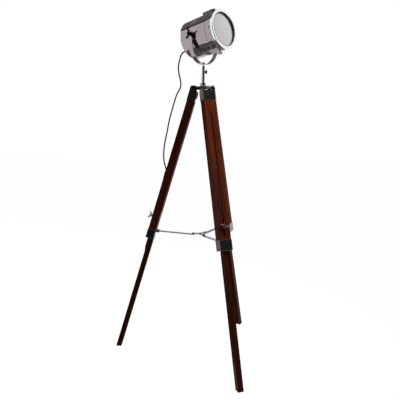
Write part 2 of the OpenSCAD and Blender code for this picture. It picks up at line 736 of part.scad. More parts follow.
module cord_hang() color(BLACK) at_axis() {
    path = smooth(HANG_ROUTE, route_steps);
    last = len(path) - 1;
    tube(path, cord_d, hang_sides, [0, 1, 0], unit(path[1] - path[0]), unit(path[last] - path[last - 1]));
}

module cord_leg() color(BLACK) on_leg(LEFT) {
    path = smooth(LEG_ROUTE, 2);
    tube(path, cord_d, hang_sides, [1, 0, 0], [0, 0, -1], [0, 0, 1]);
}

// Hank: loops folded along the leg, drawn in at the waist by the tie
hank_mid = [-15.7, -47.2, -510];
fold_r = 18;
waist = 8.5;
layer = 6.9;
fold_rings = 6;
run_rings = 6;

function run_width(z) = waist + (fold_r - waist) * pow(sin(180 * z / hank_run), 2);
function ease(t) = t * t * (3 - 2 * t);
// Up a run beside the board while climbing one layer, then down the outer run
function run_up(n) = [for (i = [0:run_rings - 1]) let (t = i / run_rings, z = (t - 0.5) * hank_run)
    [(n + ease(t)) * layer, run_width(z), z]];
function fold(n, top) = [for (i = [0:fold_rings - 1]) let (a = 180 * i / fold_rings)
    [(n + 1) * layer, (top ? 1 : -1) * fold_r * cos(a), (top ? 1 : -1) * (hank_run / 2 + fold_r * sin(a))]];
function run_down(n) = [for (i = [0:run_rings - 1]) let (z = (0.5 - i / run_rings) * hank_run)
    [(n + 1) * layer, -run_width(z), z]];
HANK_PATH = concat(
    [for (n = [0:hank_loops - 1]) each concat(run_up(n), fold(n, true), run_down(n), fold(n, false))],
    run_up(hank_loops), fold(hank_loops, true), run_down(hank_loops),
    [for (i = [0:1]) [(hank_loops + 1) * layer, -fold_r, -hank_run / 2 - 8 * i]]);
hank_apart = 9;
hank_gap = min([for (i = [0:len(HANK_PATH) - 1 - hank_apart], j = [i + hank_apart:len(HANK_PATH) - 1])
    norm(HANK_PATH[i] - HANK_PATH[j])]) - cord_d;
echo(hank_gap = hank_gap);

module cord_hank() color(BLACK) on_leg(LEFT) translate(hank_mid)
    tube(HANK_PATH, cord_d, hank_sides, [1, 0, 0], [0, 0, 1], [0, 0, -1]);

// Band round the hank's waist
module hank_tie() color(BLACK) on_leg(LEFT)
    translate(hank_mid + [(hank_loops + 1) * layer / 2, 0, 0]) {
        half_x = (hank_loops + 1) * layer / 2 + cord_d / 2 + 0.3;
        half_y = waist + cord_d / 2 + 1.1;
        half_z = 5.5;
        difference() {
            block([-half_x - 1.4, -half_y - 1.4, -half_z], [half_x + 1.4, half_y + 1.4, half_z]);
            block([-half_x, -half_y, -half_z - over], [half_x, half_y, half_z + over]);
        }
    }

plug_top = hank_mid + [(hank_loops + 1) * layer, -fold_r, -hank_run / 2 - 8 - fit];

// Flat two-pin plug, hanging from the end of the hank
module plug_body() color(BLACK) on_leg(LEFT) translate(plug_top) {
    translate([0, 0, -22]) cylinder(r1 = 5.4, r2 = 3.6, h = 22, $fn = 48);
    difference() {
        union() {
            block([-6, -9.5, -44], [6, 9.5, -21]);
            translate([0, 0, -47]) linear_extrude(4) plug_outline();
        }
        for (side = [-1, 1]) block([-0.9, side * 6.35 - 3.3, -48], [0.9, side * 6.35 + 3.3, -41]);
    }
}

module plug_outline() {
    square([14, 15], center = true);
    for (side = [-1, 1]) translate([0, side * 7.5]) circle(r = 7, $fn = 48);
}

module plug_pins() color(BRIGHT) on_leg(LEFT) translate(plug_top)
    for (side = [-1, 1]) block([-0.8, side * 6.35 - 3.15, -64], [0.8, side * 6.35 + 3.15, -41.1]);

echo(cord_length = boot_len + path_length(smooth(TOP_ROUTE, 8)) + path_length(smooth(HANG_ROUTE, 8))
    + path_length(smooth(LEG_ROUTE, 8)) + path_length(HANK_PATH));

// ---------------------------------------------------------------- nodes

drum_shell();
front_collar();
bezel_ring();
diffuser_glass();
glass_gasket();
top_vent_cover();
bottom_vent_box();
vent_knob();
top_latch();
reflector();
lamp_holder();
light_bulb();
tilt_bolts();
head_screws();
cord_boot();
latch_knob();
yoke();
yoke_nut();
yoke_spigot();
cord_top();
tilt_nut(-1);  // tilt_nut_near
tilt_nut(1);  // tilt_nut_far
hub();
stem_tube();
hub_screws();
hinge_bolts();
cord_hang();
stem_thumb_screw();
brace_centre();
brace_bolts();
cord_leg();
cord_hank();
hank_tie();
plug_body();
plug_pins();
for (leg = LEGS) {
    leg_cap(leg[1]);
    upper_leg(leg[1]);
    leg_sleeve(leg[1]);
    lower_leg(leg[1]);
    clamp_bolt(leg[1]);
    wing_nut(leg[1], leg[2]);
    brace_pin(leg[1]);
    brace_arm(leg[1]);
}
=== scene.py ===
"""Tripod spotlight floor lamp: camera, mains lead, spotlight, yoke, hub, legs, brace and light."""

import json
from math import cos, pi, radians, sin, tan

import bmesh
import bpy
from mathutils import Euler, Matrix, Vector


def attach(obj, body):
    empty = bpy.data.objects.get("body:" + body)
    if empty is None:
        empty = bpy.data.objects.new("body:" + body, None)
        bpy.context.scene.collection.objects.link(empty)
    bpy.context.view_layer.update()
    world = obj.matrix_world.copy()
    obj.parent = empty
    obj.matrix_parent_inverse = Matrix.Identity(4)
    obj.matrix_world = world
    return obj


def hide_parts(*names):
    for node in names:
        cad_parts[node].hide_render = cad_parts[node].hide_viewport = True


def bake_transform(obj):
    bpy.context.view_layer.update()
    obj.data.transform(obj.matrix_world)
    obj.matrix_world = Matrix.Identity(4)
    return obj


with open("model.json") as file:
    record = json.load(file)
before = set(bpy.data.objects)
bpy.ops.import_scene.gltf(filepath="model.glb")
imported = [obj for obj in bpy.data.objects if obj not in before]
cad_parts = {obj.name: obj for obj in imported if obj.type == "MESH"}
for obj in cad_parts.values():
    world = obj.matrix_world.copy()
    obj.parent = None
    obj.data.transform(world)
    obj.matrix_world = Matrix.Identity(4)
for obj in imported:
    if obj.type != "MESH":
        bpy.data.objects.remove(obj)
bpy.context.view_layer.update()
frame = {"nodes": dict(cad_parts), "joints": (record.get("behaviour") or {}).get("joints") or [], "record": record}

MM = 0.001
JOINTS = {joint["name"]: joint for joint in frame["joints"]}

# ------------------------------------------------------------------ sizes, in millimetres
# Angles are in degrees. The head's own axes are s along the beam, t to its left and u up.

AXIS_X = JOINTS["head_pan"]["pos_m"][0] / MM

# Legs: azimuth of each, and where their hinges are
LEGS = {"left": 180, "front": -60, "right": 60}
LEG_TILT = 16.4
HINGE_R = 42
HINGE_H = 1150

# Spotlight: how it points, and the height of its tilt axis
HEAD_AZ = -36.5
HEAD_TILT = 9.5
PIVOT_H = 1353

# Drum, from its tilt axis; sides and smoothing angle of turned parts, and the gap between two
TURNED_SIDES = 192
TURNED_SMOOTH = 30
GAP = 0.1
DRUM_R = 74.5
DRUM_BACK = 71
DRUM_ROUND = 16
DRUM_T = 1.6

# Seam between drum and collar: a groove, and the dark filler at its bottom
SEAM = 2.2
SEAM_AT = 65
SEAM_DEEP = 2
SEAM_FILL = 73.9
FILL_BACK = 0.3
FILL_DEEP = 0.5

COLLAR_R = 75.5
COLLAR_FRONT = 96
COLLAR_STEP = 1.6

# Vent cover: outer radius, ends, half its angle, and the half width and height of the black strips along its
# edges, which paint the shadow under the cover's step
COVER_OUT = 77.3
COVER_BACK = -59.5
COVER_FRONT = 94.5
COVER_HALF = 65.6
COVER_SHADE_STRIP = (0.9, 0.8)

# Bezel with its opening and the seat behind the glass, the glass, and the gasket in front of it
BEZEL_R = 76.8
BEZEL_OPEN = 65.5
BEZEL_FRONT = 107
BEZEL_LIP = 3
SEAT_T = 2.5
SEAT_W = 6.5
GLASS_R = 65.3
GLASS_BACK = 94
GLASS_FRONT = 98
GASKET_T = 1.2

# Louvre hoods on both sides of the cover: half sizes, and how deep they sit in it
LOUVRES = 5
LOUVRE_ANGLE = 52
LOUVRE_FIRST = -5.6
LOUVRE_STEP = 6
HOOD_HALF = (2.0, 9.4, 1.3)
HOOD_SUNK = 0.15

# Slats of the vent box: half sizes, their turn, and (first, count) of each row
SLAT_HALF = (2.1, 0.45, 7.3)
SLAT_TURN = -38
VENT_NEAR = -50
VENT_STEP = 5
VENT_ROWS = [(28.5, 8), (75.5, 4)]
VENT_MID_U = -67.5

# Knobs: centres, and two corners of one rib of each grip
LATCH_T = -20
LATCH_U = 79.1
LATCH_TURN = 18
LATCH_RIB = ((76, -0.85, 3.7), (83.4, 0.85, 4.25))
LATCH_RIBS = 10
VENT_KNOB = (80, -8, -92)
VENT_RIB = ((0.6, -0.5, 9.6), (4.5, 0.5, 10.35))
VENT_RIBS = 30

# Dressing of the CAD solids. Bent sheet has its outer edges rounded by FOLD where they are longer
# than FOLD_MIN and turn by more than FOLD_ANGLE. Other edges are broken from CORNER_ANGLE up. An
# edge stays sharp in the shading where it turns by SMOOTH or more, or where one of its faces is
# FLAT_RATIO times the other or more.
FOLD = 2.6
FOLD_MIN = 26
FOLD_ANGLE = 80
CORNER_ANGLE = 35
SMOOTH = 40
FLAT_RATIO = 6

CORD_D = 6


def turn(angle, axis):
    """Turn by an angle in degrees."""
    return Matrix.Rotation(radians(angle), 4, axis)


def move(x, y, z):
    return Matrix.Translation((x, y, z))


AT_AXIS = move(AXIS_X, 0, 0)
AT_HEAD = AT_AXIS @ move(0, 0, PIVOT_H) @ turn(HEAD_AZ, "Z") @ turn(-HEAD_TILT, "Y")


def at_leg(name):
    """Hinge frame of a leg: x out of its outer face, z up along it."""
    return AT_AXIS @ turn(LEGS[name], "Z") @ move(HINGE_R, 0, HINGE_H) @ turn(-LEG_TILT, "Y")


# ------------------------------------------------------------------ camera

CAMERA_PLACE = (141.9, -1956.1, 969.3)
CAMERA_AZ = 96.0
CAMERA_PITCH = -8.88
CAMERA_ROLL = 0.716
FOCAL_PX = 461.5
CENTRE_PX = (186.26, 204.36)
FRAME_PX = 400
SENSOR = 36


def make_camera():
    """The photograph's camera, from the fit of its lens, place and roll."""
    data = bpy.data.cameras.new("camera")
    data.sensor_width = SENSOR
    data.lens = FOCAL_PX / FRAME_PX * SENSOR
    data.shift_x = (FRAME_PX / 2 - CENTRE_PX[0]) / FRAME_PX
    data.shift_y = (CENTRE_PX[1] - FRAME_PX / 2) / FRAME_PX
    data.clip_start = 0.05
    data.clip_end = 100
    camera = bpy.data.objects.new("camera", data)
    bpy.context.scene.collection.objects.link(camera)
    az, pitch = radians(CAMERA_AZ), radians(CAMERA_PITCH)
    ahead = Vector((cos(az) * cos(pitch), sin(az) * cos(pitch), sin(pitch)))
    right = Vector((sin(az), -cos(az), 0))
    up = right.cross(ahead)
    roll = radians(CAMERA_ROLL)
    right, up = cos(roll) * right + sin(roll) * up, cos(roll) * up - sin(roll) * right
    basis = Matrix((right, up, -ahead)).transposed().to_4x4()
    place = Vector(CAMERA_PLACE) + Vector((AXIS_X, 0, 0))
    camera.matrix_world = Matrix.Translation(place * MM) @ basis
    bpy.context.scene.camera = camera


make_camera()

# ------------------------------------------------------------------ shader groups


def socket(group, name, kind, out=False, value=None):
    """A group's input or output, with its first value."""
    made = group.interface.new_socket(name, in_out="OUTPUT" if out else "INPUT", socket_type=kind)
    if value is not None:
        made.default_value = value


class Net:
    """Short calls for building one node tree."""

    def __init__(self, tree):
        self.tree = tree

    def node(self, kind, **settings):
        made = self.tree.nodes.new(kind)
        for key, value in settings.items():
            setattr(made, key, value)
        return made

    def feed(self, target, source):
        if isinstance(source, bpy.types.NodeSocket):
            self.tree.links.new(source, target)
        else:
            target.default_value = source

    def noise(self, vector, scale, detail=3.0, rough=0.5, warp=0.0):
        made = self.node("ShaderNodeTexNoise")
        self.feed(made.inputs["Vector"], vector)
        self.feed(made.inputs["Scale"], scale)
        self.feed(made.inputs["Detail"], detail)
        self.feed(made.inputs["Roughness"], rough)
        self.feed(made.inputs["Distortion"], warp)
        return made.outputs["Fac"]

    def stretch(self, vector, scale):
        made = self.node("ShaderNodeMapping")
        self.feed(made.inputs["Vector"], vector)
        self.feed(made.inputs["Scale"], scale)
        return made.outputs["Vector"]

    def fit(self, value, low, high, to_low=0.0, to_high=1.0):
        made = self.node("ShaderNodeMapRange")
        self.feed(made.inputs["Value"], value)
        self.feed(made.inputs["From Min"], low)
        self.feed(made.inputs["From Max"], high)
        self.feed(made.inputs["To Min"], to_low)
        self.feed(made.inputs["To Max"], to_high)
        return made.outputs["Result"]

    def math(self, operation, a, b=0.5):
        made = self.node("ShaderNodeMath", operation=operation)
        self.feed(made.inputs[0], a)
        self.feed(made.inputs[1], b)
        return made.outputs["Value"]

    def mix(self, factor, a, b):
        made = self.node("ShaderNodeMix", data_type="RGBA")
        self.feed(made.inputs["Factor"], factor)
        self.feed(made.inputs["A"], a)
        self.feed(made.inputs["B"], b)
        return made.outputs["Result"]

    def place(self, group, **values):
        made = self.node("ShaderNodeGroup")
        made.node_tree = group
        for key, value in values.items():
            self.feed(made.inputs[key.replace("_", " ")], value)
        return made.outputs


def make_grain_group():
    """Straight-grained hardwood: broad figure, fine streaks and short open pores along z."""
    group = bpy.data.node_groups.new("hardwood grain", "ShaderNodeTree")
    socket(group, "Vector", "NodeSocketVector")
    socket(group, "Dark", "NodeSocketColor", value=(0.05, 0.01, 0.006, 1))
    socket(group, "Middle", "NodeSocketColor", value=(0.17, 0.035, 0.018, 1))
    socket(group, "Light", "NodeSocketColor", value=(0.26, 0.07, 0.035, 1))
    socket(group, "Seed", "NodeSocketFloat", value=0.0)
    socket(group, "Color", "NodeSocketColor", out=True)
    socket(group, "Pores", "NodeSocketFloat", out=True)
    socket(group, "Height", "NodeSocketFloat", out=True)
    net = Net(group)
    given = net.node("NodeGroupInput").outputs
    offset = net.node("ShaderNodeVectorMath", operation="ADD")
    net.feed(offset.inputs[0], given["Vector"])
    spread = net.node("ShaderNodeCombineXYZ")
    for axis in "XYZ":
        net.feed(spread.inputs[axis], given["Seed"])
    net.feed(offset.inputs[1], spread.outputs["Vector"])
    where = offset.outputs["Vector"]
    figure = net.noise(net.stretch(where, (1, 1, 0.10)), 42, 4, 0.55, 0.6)
    ribbon = net.noise(net.stretch(where, (1, 1, 0.035)), 120, 3, 0.6)
    streak = net.noise(net.stretch(where, (1, 1, 0.018)), 520, 2, 0.6)
    pores = net.noise(net.stretch(where, (1, 1, 0.05)), 1500, 1, 0.5)
    pore_mask = net.fit(pores, 0.62, 0.72)
    tone = net.mix(net.fit(figure, 0.32, 0.66), given["Dark"], given["Middle"])
    tone = net.mix(net.math("MULTIPLY", net.fit(ribbon, 0.42, 0.72), 0.75), tone, given["Light"])
    tone = net.mix(net.math("MULTIPLY", net.fit(streak, 0.5, 0.3), 0.5), tone, given["Dark"])
    tone = net.mix(net.math("MULTIPLY", pore_mask, 0.6), tone, given["Dark"])
    out = net.node("NodeGroupOutput").inputs
    net.feed(out["Color"], tone)
    net.feed(out["Pores"], pore_mask)
    dents = net.math("MULTIPLY", pore_mask, 0.5)
    net.feed(out["Height"], net.math("SUBTRACT", net.math("MULTIPLY", streak, 0.35), dents))
    return group


def make_handling_group():
    """Polish that has been handled: soft smudges, fine scratches and a few dull specks."""
    group = bpy.data.node_groups.new("handled polish", "ShaderNodeTree")
    socket(group, "Vector", "NodeSocketVector")
    socket(group, "Smooth", "NodeSocketFloat", value=0.12)
    socket(group, "Smudged", "NodeSocketFloat", value=0.26)
    socket(group, "Scale", "NodeSocketFloat", value=30.0)
    socket(group, "Roughness", "NodeSocketFloat", out=True)
    socket(group, "Marks", "NodeSocketFloat", out=True)
    socket(group, "Height", "NodeSocketFloat", out=True)
    net = Net(group)
    given = net.node("NodeGroupInput").outputs
    cloud = net.noise(given["Vector"], given["Scale"], 4, 0.6, 0.4)
    finer = net.math("MULTIPLY", given["Scale"], 9)
    lines = net.noise(net.stretch(given["Vector"], (1, 12, 1)), finer, 2)
    specks = net.noise(given["Vector"], net.math("MULTIPLY", given["Scale"], 22), 1)
    scratches = net.math("MULTIPLY", net.fit(lines, 0.60, 0.70), 0.35)
    marks = net.math("ADD", net.fit(cloud, 0.42, 0.75), scratches)
    marks = net.math("ADD", marks, net.math("MULTIPLY", net.fit(specks, 0.72, 0.78), 0.5))
    out = net.node("NodeGroupOutput").inputs
    net.feed(out["Marks"], marks)
    net.feed(out["Roughness"], net.fit(marks, 0, 1, given["Smooth"], given["Smudged"]))
    net.feed(out["Height"], net.math("ADD", cloud, net.math("MULTIPLY", lines, 0.2)))
    return group


GRAIN = make_grain_group()
HANDLING = make_handling_group()

# ------------------------------------------------------------------ materials


def start_material(name):
    """A material with its Principled shader, and the Net that builds it."""
    made = bpy.data.materials.new(name)
    made.use_nodes = True
    net = Net(made.node_tree)
    shader = made.node_tree.nodes["Principled BSDF"]
    return made, net, shader


def own_place(net):
    """Place in the piece's own frame, so that marks stay with it when it moves."""
    return net.node("ShaderNodeTexCoord").outputs["Object"]


def bump(net, shader, height, strength, distance):
    """Fine relief of a surface, distance in metres."""
    made = net.node("ShaderNodeBump")
    net.feed(made.inputs["Strength"], strength)
    net.feed(made.inputs["Distance"], distance)
    net.feed(made.inputs["Height"], height)
    net.feed(shader.inputs["Normal"], made.outputs["Normal"])


def handled(name, colour, marked, share, smooth, smudged, scale):
    """A material whose handling marks lean towards a second colour, its Net, shader and relief."""
    made, net, shader = start_material(name)
    marks = net.place(HANDLING, Vector=own_place(net), Smooth=smooth, Smudged=smudged, Scale=scale)
    tinted = net.mix(net.math("MULTIPLY", marks["Marks"], share), colour, marked)
    net.feed(shader.inputs["Base Color"], tinted)
    net.feed(shader.inputs["Roughness"], marks["Roughness"])
    return made, net, shader, marks["Height"]


def metal(name, colour, tint, smooth, smudged, scale):
    """Polished or plated metal; tint is the colour that smudges and oxide lean towards."""
    made, net, shader, height = handled(name, colour, tint, 0.6, smooth, smudged, scale)
    shader.inputs["Metallic"].default_value = 1.0
    bump(net, shader, height, 0.12, 0.0004)
    return made


WOOD_SHADES = [(0.060, 0.0110, 0.0050), (0.225, 0.0400, 0.0150), (0.340, 0.0760, 0.0300)]


def wood(name, leg, seed, painted_shade_scale=1.0):
    """Lacquered red-brown hardwood whose grain runs along a leg; the last argument darkens all its colours, which
    paints shade.
    """
    made, net, shader = start_material(name)
    along = net.node("ShaderNodeMapping", vector_type="TEXTURE")
    net.feed(along.inputs["Vector"], own_place(net))
    net.feed(along.inputs["Rotation"], Euler((0, radians(-LEG_TILT), radians(LEGS[leg]))))
    dark, middle, light = [tuple(c * painted_shade_scale for c in shade) + (1,) for shade in WOOD_SHADES]
    grain = net.place(GRAIN, Vector=along.outputs["Vector"], Dark=dark, Middle=middle,
                      Light=light, Seed=seed)
    net.feed(shader.inputs["Base Color"], grain["Color"])
    net.feed(shader.inputs["Roughness"], net.fit(grain["Pores"], 0, 1, 0.42, 0.65))
    shader.inputs["Specular IOR Level"].default_value = 0.05
    bump(net, shader, grain["Height"], 0.25, 0.0003)
    return made


def plastic(name, colour, smooth, smudged, scale=60.0):
    """Moulded plastic or glaze, paler where it has been handled."""
    paler = tuple(min(1.0, c * 1.7 + 0.01) for c in colour[:3]) + (1,)
    made, net, shader, height = handled(name, colour, paler, 0.5, smooth, smudged, scale)
    bump(net, shader, height, 0.2, 0.0003)
    return made


def frosted_glass(name):
    """Sand-blasted diffuser: fine grain under a faint cloud; it hides the bulb behind it."""
    made, net, shader = start_material(name)
    where = own_place(net)
    sand = net.noise(where, 2600, 2, 0.6)
    cloud = net.noise(where, 14, 3, 0.5)
    shade = net.mix(net.fit(cloud, 0.3, 0.7), (0.70, 0.68, 0.69, 1), (0.75, 0.73, 0.74, 1))
    net.feed(shader.inputs["Base Color"], shade)
    net.feed(shader.inputs["Roughness"], net.fit(sand, 0.3, 0.7, 0.42, 0.62))
    shader.inputs["Transmission Weight"].default_value = 0.0
    shader.inputs["IOR"].default_value = 1.5
    bump(net, shader, sand, 0.04, 0.00003)
    return made


def cord_sheath(name):
    """Round PVC flex: nearly black, dull, with the faint ripple of the twisted cores inside."""
    made, net, shader = start_material(name)
    where = own_place(net)
    ripple = net.noise(where, 160, 2, 0.5)
    dust = net.noise(where, 900, 2, 0.6)
    shade = net.mix(net.fit(dust, 0.5, 0.75), (0.010, 0.010, 0.011, 1), (0.022, 0.021, 0.021, 1))
    net.feed(shader.inputs["Base Color"], shade)
    net.feed(shader.inputs["Roughness"], net.fit(ripple, 0.3, 0.7, 0.42, 0.58))
    shader.inputs["Specular IOR Level"].default_value = 0.15
    bump(net, shader, ripple, 0.25, 0.0005)
    return made


WOODS = {leg: wood("lacquered wood " + leg, leg, 1.7 * i) for i, leg in enumerate(LEGS)}
# The lower legs' wood is painted at half its colour: painted shade for the light that falls off down the legs.
SHADED_LOWER_WOODS = {leg: wood("painted shade lower leg wood " + leg, leg, 5.3 + 2.1 * i, 0.5)
               for i, leg in enumerate(LEGS)}
GUNMETAL = metal("gunmetal plate", (0.38, 0.33, 0.34, 1), (0.29, 0.25, 0.26, 1), 0.07, 0.16, 22)
DARK_STEEL = metal("dark steel", (0.11, 0.095, 0.095, 1), (0.07, 0.06, 0.06, 1), 0.16, 0.30, 26)
CAP_STEEL = metal("cap steel", (0.34, 0.305, 0.295, 1), (0.24, 0.21, 0.20, 1), 0.10, 0.20, 18)
BLACK_CHROME = metal("black chrome", (0.014, 0.013, 0.012, 1), (0.012, 0.011, 0.010, 1),
                     0.20, 0.27, 18)
NICKEL = metal("satin nickel", (0.42, 0.41, 0.40, 1), (0.30, 0.29, 0.28, 1), 0.16, 0.30, 45)
BRIGHT = metal("bright chrome", (0.88, 0.88, 0.88, 1), (0.72, 0.71, 0.70, 1), 0.06, 0.18, 45)
SPUN = metal("spun aluminium", (0.80, 0.80, 0.80, 1), (0.62, 0.62, 0.62, 1), 0.25, 0.40, 30)
PIN_BRASS = metal("plug brass", (0.75, 0.62, 0.38, 1), (0.45, 0.33, 0.16, 1), 0.20, 0.35, 60)
KNOB_BLACK = plastic("black knob", (0.018, 0.018, 0.019, 1), 0.25, 0.42)
CERAMIC = plastic("glazed ceramic", (0.72, 0.70, 0.66, 1), 0.12, 0.25)
BULB = plastic("pearl bulb", (0.78, 0.77, 0.74, 1), 0.10, 0.20, 20.0)
GLASS = frosted_glass("frosted glass")
SHEATH = cord_sheath("mains flex")

# ------------------------------------------------------------------ making pieces


def finish_piece(name, bm, place, body, material, nodes=(), smooth=SMOOTH):
    """Puts a millimetre mesh in its place in the object and gives it to a body, if it has one."""
    mesh = bpy.data.meshes.new(name)
    bm.to_mesh(mesh)
    bm.free()
    mesh.transform(Matrix.Scale(MM, 4) @ place)
    mesh.materials.append(material)
    piece = bpy.data.objects.new(name, mesh)
    bpy.context.scene.collection.objects.link(piece)
    mesh.shade_smooth()
    if smooth is not None:
        mesh.set_sharp_from_angle(angle=radians(smooth))
    if body:
        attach(piece, body)
    if nodes:
        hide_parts(*nodes)
    return piece


BODIES = frame["record"]["behaviour"]["bodies"]


def body_of(node):
    """The body that a CAD node belongs to."""
    return next(body for body, nodes in BODIES.items() if node in nodes)


def break_edges(bm, edges, width, segments, profile=0.6):
    """Bevels edges with even steps."""
    bmesh.ops.bevel(bm, geom=edges, offset=width, offset_type="OFFSET", segments=segments,
                    profile=profile, affect="EDGES", clamp_overlap=True)


def dress(node, material, bevel=0.5, segments=2, fold=0.0):
    """A CAD solid as a clean mesh of its own with its edges broken.

    fold rounds the long outer edges of bent sheet first. Edges between a large face and a narrow
    one stay sharp in the shading, so that flat faces look flat.
    """
    bm = bmesh.new()
    bm.from_mesh(frame["nodes"][node].data)
    bmesh.ops.scale(bm, vec=(1 / MM,) * 3, verts=bm.verts)
    bmesh.ops.remove_doubles(bm, verts=bm.verts, dist=0.002)
    bmesh.ops.dissolve_limit(
        bm, angle_limit=radians(1), verts=bm.verts, edges=bm.edges, delimit={"NORMAL"})
    if fold:
        outer = [edge for edge in bm.edges if len(edge.link_faces) == 2 and edge.is_convex
                 and edge.calc_length() > FOLD_MIN
                 and edge.calc_face_angle(0) > radians(FOLD_ANGLE)]
        break_edges(bm, outer, fold, 5, 0.5)
    if bevel:
        corners = [edge for edge in bm.edges if len(edge.link_faces) == 2
                   and edge.calc_face_angle(0) > radians(CORNER_ANGLE)]
        break_edges(bm, corners, bevel, segments)
    for edge in bm.edges:
        if len(edge.link_faces) == 2:
            small, large = sorted(face.calc_area() for face in edge.link_faces)
            soft = edge.calc_face_angle(0) < radians(SMOOTH)
            edge.smooth = soft and large < FLAT_RATIO * small
    bmesh.ops.triangulate(bm, faces=[face for face in bm.faces if len(face.verts) > 4])
    return finish_piece(node + "_piece", bm, Matrix.Identity(4), body_of(node), material,
                        [node], None)


def rounded(points, radii, steps):
    """A closed outline of (a, b) points with each corner turned into an arc of its radius."""
    out = []
    for i, (point, r) in enumerate(zip(points, radii)):
        here = Vector(point)
        before, after = Vector(points[i - 1]), Vector(points[(i + 1) % len(points)])
        back, ahead = before - here, after - here
        half = back.angle(ahead) / 2
        cut = min(r / tan(half), back.length * 0.49, ahead.length * 0.49) if r else 0
        if cut < 1e-4:
            out.append(here)
            continue
        r = cut * tan(half)
        centre = here + (back.normalized() + ahead.normalized()).normalized() * (r / sin(half))
        start = here + back.normalized() * cut - centre
        stop = here + ahead.normalized() * cut - centre
        sweep = start.angle_signed(stop)
        for k in range(steps + 1):
            a = -sweep * k / steps
            arm = (start.x * cos(a) - start.y * sin(a), start.x * sin(a) + start.y * cos(a))
            out.append(centre + Vector(arm))
    return out


def turned(outline):
    """Solid of revolution about x, from a closed outline of (x, radius)."""
    bm = bmesh.new()
    rings = []
    for k in range(TURNED_SIDES):
        a = 2 * pi * k / TURNED_SIDES
        rings.append([bm.verts.new((x, r * cos(a), r * sin(a))) for x, r in outline])
    count = len(outline)
    for k in range(TURNED_SIDES):
        here, after = rings[k], rings[(k + 1) % TURNED_SIDES]
        for i in range(count):
            j = (i + 1) % count
            bm.faces.new((here[i], here[j], after[j], after[i]))
    bmesh.ops.remove_doubles(bm, verts=bm.verts, dist=1e-4)
    bmesh.ops.dissolve_degenerate(bm, edges=bm.edges, dist=1e-5)
    bmesh.ops.recalc_face_normals(bm, faces=bm.faces)
    return bm


# ------------------------------------------------------------------ mains lead
# The first two routes are from the yoke's axis on the floor, the third from the left leg's hinge.

TOP_ROUTE = [(-84.9, 37.9, 1301.3), (-92.5, 43.3, 1297), (-100, 48.5, 1287), (-104, 51, 1273.5)]
HANG_ROUTE = [
    (-104.3, 51.2, 1272.3), (-110, 52.5, 1245), (-107, 50, 1215), (-99, 46.5, 1182),
    (-100, 44.5, 1155), (-114, 41, 1128), (-126, 38.5, 1090), (-137, 36, 1050),
    (-147, 33.5, 1008), (-154, 31, 968), (-162, 29, 928), (-167, 27, 885),
    (-165.5, 25.5, 845), (-156.2, 24.1, 809), (-160.15, 24, 794.7)]
LEG_ROUTE = [
    (13, -24, -375), (11.2, -24, -410), (10.8, -24, -460), (10.8, -24, -510), (10.8, -24.5, -555),
    (11.3, -27, -585), (9, -31, -612), (5, -32.5, -645), (3, -32, -680), (3, -35, -712),
    (1.5, -46, -738), (-0.5, -62, -741), (-3, -75, -722), (-6.5, -74, -690), (-11, -62, -660),
    (-14.5, -46, -632), (-15.7, -34, -604), (-15.7, -29.4, -578), (-15.7, -29.2, -557.5)]
HANG_SPLIT = 4
STEPS = 8
LEG_STEPS = 7

# Hank on the left leg: its middle, its straight run, the radius of its folds, half its width at
# the tie, and the height of a layer
HANK_MID = (-15.7, -47.2, -510)
HANK_RUN = 95
HANK_LOOPS = 2
FOLD_R = 18
WAIST = 8.5
LAYER = 6.9


def smooth_route(points, steps):
    """Points along a smooth curve through a route."""
    route = [Vector(p) for p in points]
    out = []
    for i in range(len(route) - 1):
        a, b, c = route[max(i - 1, 0)], route[i], route[i + 1]
        d = route[min(i + 2, len(route) - 1)]
        for k in range(steps):
            t = k / steps
            out.append(0.5 * (2 * b + (c - a) * t + (2 * a - 5 * b + 4 * c - d) * t ** 2
                              + (3 * b - a - 3 * c + d) * t ** 3))
    return out + [route[-1]]


def hank_path(rings):
    """Centre line of the hank: up beside the leg while climbing a layer, over, down, and under."""

    def width(z):
        return WAIST + (FOLD_R - WAIST) * sin(pi * z / HANK_RUN) ** 2

    def ease(t):
        return t * t * (3 - 2 * t)

    out = []
    for loop in range(HANK_LOOPS + 1):
        top = (loop + 1) * LAYER
        for i in range(rings):
            t = i / rings
            z = (t - 0.5) * HANK_RUN
            out.append(((loop + ease(t)) * LAYER, width(z), z))
        for i in range(rings):
            a = pi * i / rings
            out.append((top, FOLD_R * cos(a), HANK_RUN / 2 + FOLD_R * sin(a)))
        for i in range(rings):
            z = (0.5 - i / rings) * HANK_RUN
            out.append((top, -width(z), z))
        if loop < HANK_LOOPS:
            for i in range(rings):
                a = pi * i / rings
                out.append((top, -FOLD_R * cos(a), -HANK_RUN / 2 - FOLD_R * sin(a)))
    out += [((HANK_LOOPS + 1) * LAYER, -FOLD_R, -HANK_RUN / 2 - 4 * i) for i in range(3)]
    return [Vector(p) for p in out]


def tube(path, diameter, sides):
    """Round tube along a path, closed at both ends, with its ring frames carried along."""
    bm = bmesh.new()
    last = len(path) - 1
    ahead = [(path[min(i + 1, last)] - path[max(i - 1, 0)]).normalized() for i in range(last + 1)]
    across = ahead[0].orthogonal().normalized()
    rings = []
    for i, point in enumerate(path):
        across = (across - ahead[i] * across.dot(ahead[i])).normalized()
        up = ahead[i].cross(across)
        turns = [2 * pi * k / sides for k in range(sides)]
        rings.append([bm.verts.new(point + diameter / 2 * (across * cos(a) + up * sin(a)))
                      for a in turns])
    for here, after in zip(rings, rings[1:]):
        for k in range(sides):
            j = (k + 1) % sides
            bm.faces.new((here[k], here[j], after[j], after[k]))
    bm.faces.new(rings[0][::-1])
    bm.faces.new(rings[-1])
    return bm


def lead(name, path, place, body, nodes, sides=14):
    """One stretch of the lead along a path of millimetre points; also its line in metres."""
    piece = finish_piece(name, tube(path, CORD_D, sides), place, body, SHEATH, nodes)
    line = [Matrix.Scale(MM, 4) @ place @ p for p in path]
    return piece, line


